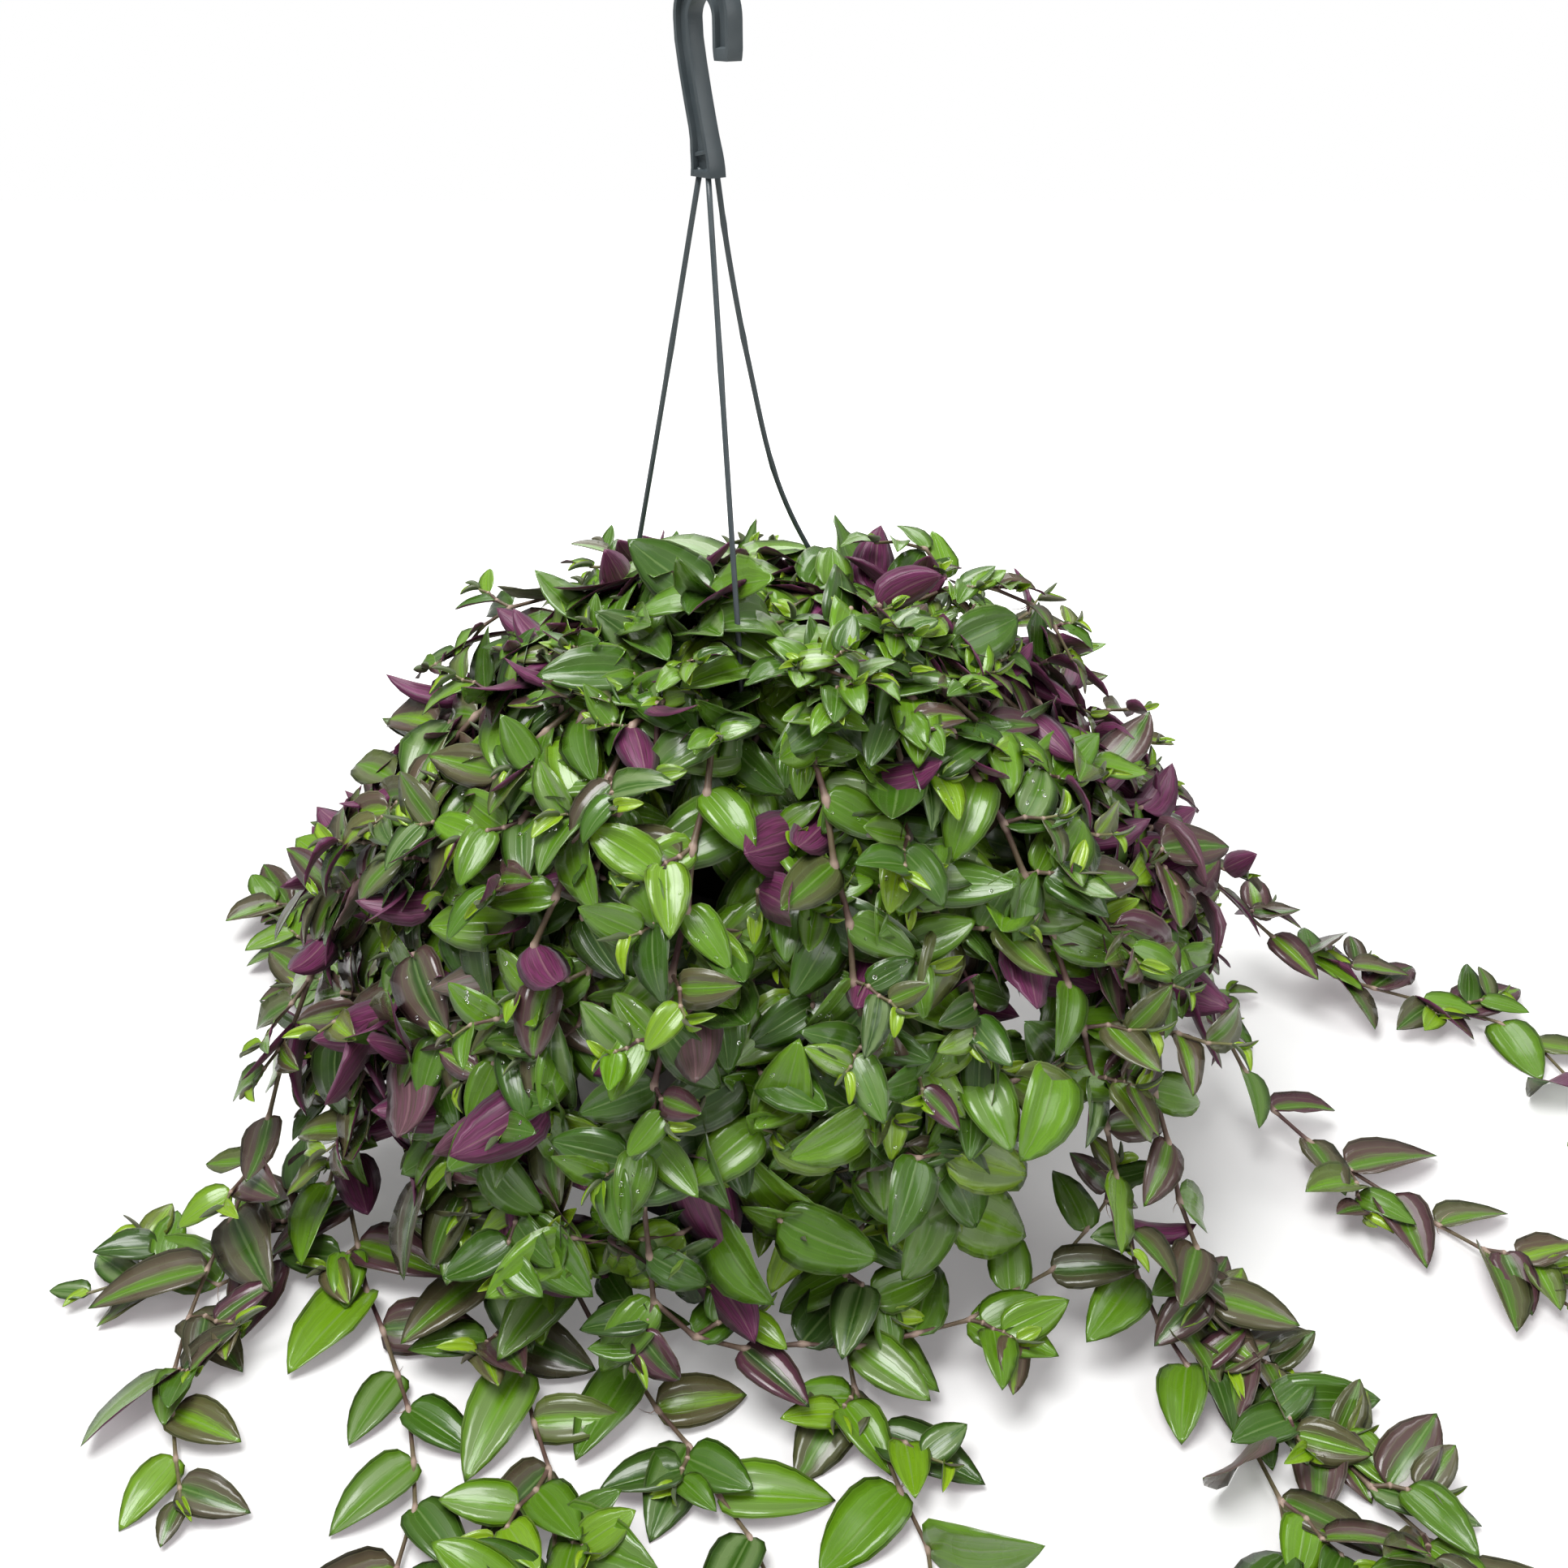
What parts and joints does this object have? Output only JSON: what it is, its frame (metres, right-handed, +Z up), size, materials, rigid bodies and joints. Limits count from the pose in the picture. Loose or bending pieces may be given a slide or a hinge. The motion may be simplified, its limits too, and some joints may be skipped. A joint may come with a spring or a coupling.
{
  "type": "potted trailing tradescantia on a round stand",
  "caption": "Trailing tradescantia in a dark hanging pot with a slate hook hanger, stood on a pale drum with a black foot; the vines spill over and lie along the surface.",
  "frame": {"origin": "centre of the stand's foot on the surface it stands on", "axes": "+Z up along the pot's axis, -Y towards the front, +X to the right where the longest vine lies"},
  "size_m": [1.0166, 0.7884, 0.6895],
  "materials": {
    "hanger_plastic": "satin",
    "pot_plastic": "satin",
    "soil": "matte",
    "drum_plastic": "satin",
    "foot_rubber": "matte",
    "foliage": "gloss"
  },
  "bodies": {
    "root": {"hanger": "hanger_plastic", "pot": "pot_plastic", "soil": "soil", "stand_drum": "drum_plastic", "stand_foot": "foot_rubber", "vine_cross_front": "foliage", "vine_crown_01": "foliage", "vine_crown_02": "foliage", "vine_crown_03": "foliage", "vine_crown_04": "foliage", "vine_crown_05": "foliage", "vine_crown_06": "foliage", "vine_crown_07": "foliage", "vine_crown_08": "foliage", "vine_crown_09": "foliage", "vine_crown_10": "foliage", "vine_floor_01": "foliage", "vine_floor_02": "foliage", "vine_floor_03": "foliage", "vine_floor_04": "foliage", "vine_floor_05": "foliage", "vine_floor_06": "foliage", "vine_floor_07": "foliage", "vine_front_left": "foliage", "vine_front_low": "foliage", "vine_front_middle": "foliage", "vine_left_front": "foliage", "vine_left_low": "foliage", "vine_left_shoulder": "foliage", "vine_mound_01": "foliage", "vine_mound_02": "foliage", "vine_mound_03": "foliage", "vine_mound_04": "foliage", "vine_mound_05": "foliage", "vine_mound_06": "foliage", "vine_mound_07": "foliage", "vine_mound_08": "foliage", "vine_mound_09": "foliage", "vine_mound_10": "foliage", "vine_mound_11": "foliage", "vine_mound_12": "foliage", "vine_mound_13": "foliage", "vine_mound_14": "foliage", "vine_mound_15": "foliage", "vine_mound_16": "foliage", "vine_mound_17": "foliage", "vine_mound_18": "foliage", "vine_mound_19": "foliage", "vine_mound_20": "foliage", "vine_mound_21": "foliage", "vine_mound_22": "foliage", "vine_mound_23": "foliage", "vine_mound_24": "foliage", "vine_mound_25": "foliage", "vine_right_back": "foliage", "vine_right_corner": "foliage", "vine_right_front": "foliage", "vine_right_shoulder": "foliage", "vine_right_side": "foliage", "vine_top_sprig": "foliage"}
  },
  "joints": []
}
